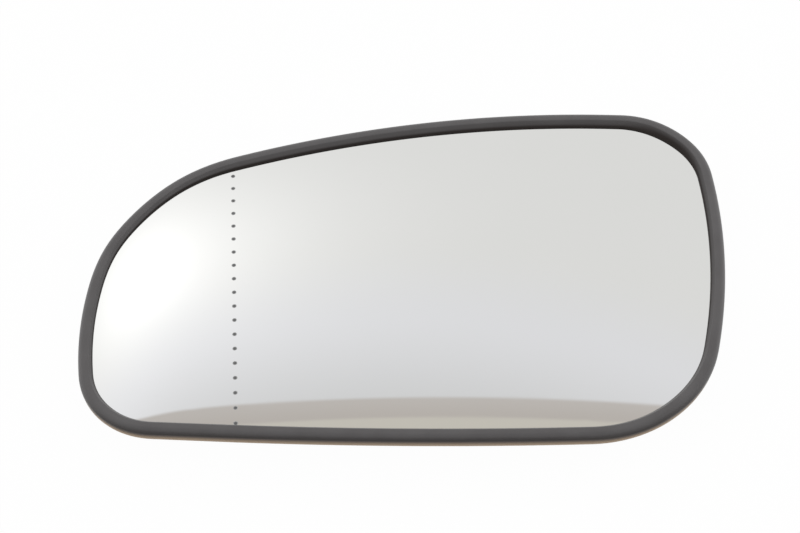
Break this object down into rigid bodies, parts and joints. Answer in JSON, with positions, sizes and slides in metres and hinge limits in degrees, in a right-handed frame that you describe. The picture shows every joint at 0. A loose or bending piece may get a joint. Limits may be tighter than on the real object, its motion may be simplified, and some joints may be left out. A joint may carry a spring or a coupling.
{
  "type": "car door mirror glass",
  "caption": "Convex door mirror glass with a dotted aspheric outer zone, framed by a rounded dark rim on a ribbed carrier that clips onto the mirror adjuster.",
  "frame": {"origin": "centre of the snap ring, on the ring's rear face", "axes": "+X towards the car, +Y up as fitted, +Z out of the glass"},
  "size_m": [0.1885, 0.1223, 0.0143],
  "materials": {
    "mirror_coating": "front-coated convex glass",
    "rim_plastic": "dark grey satin moulding",
    "heating_foil": "amber film with adhesive",
    "terminal_brass": "stamped strip",
    "rivet_brass": "tumbled"
  },
  "bodies": {
    "root": {"mirror_glass": "mirror_coating", "heater_pad": "heating_foil", "carrier": "rim_plastic", "heater_terminal_upper": "terminal_brass", "heater_terminal_lower": "terminal_brass", "terminal_rivets": "rivet_brass"}
  },
  "joints": []
}
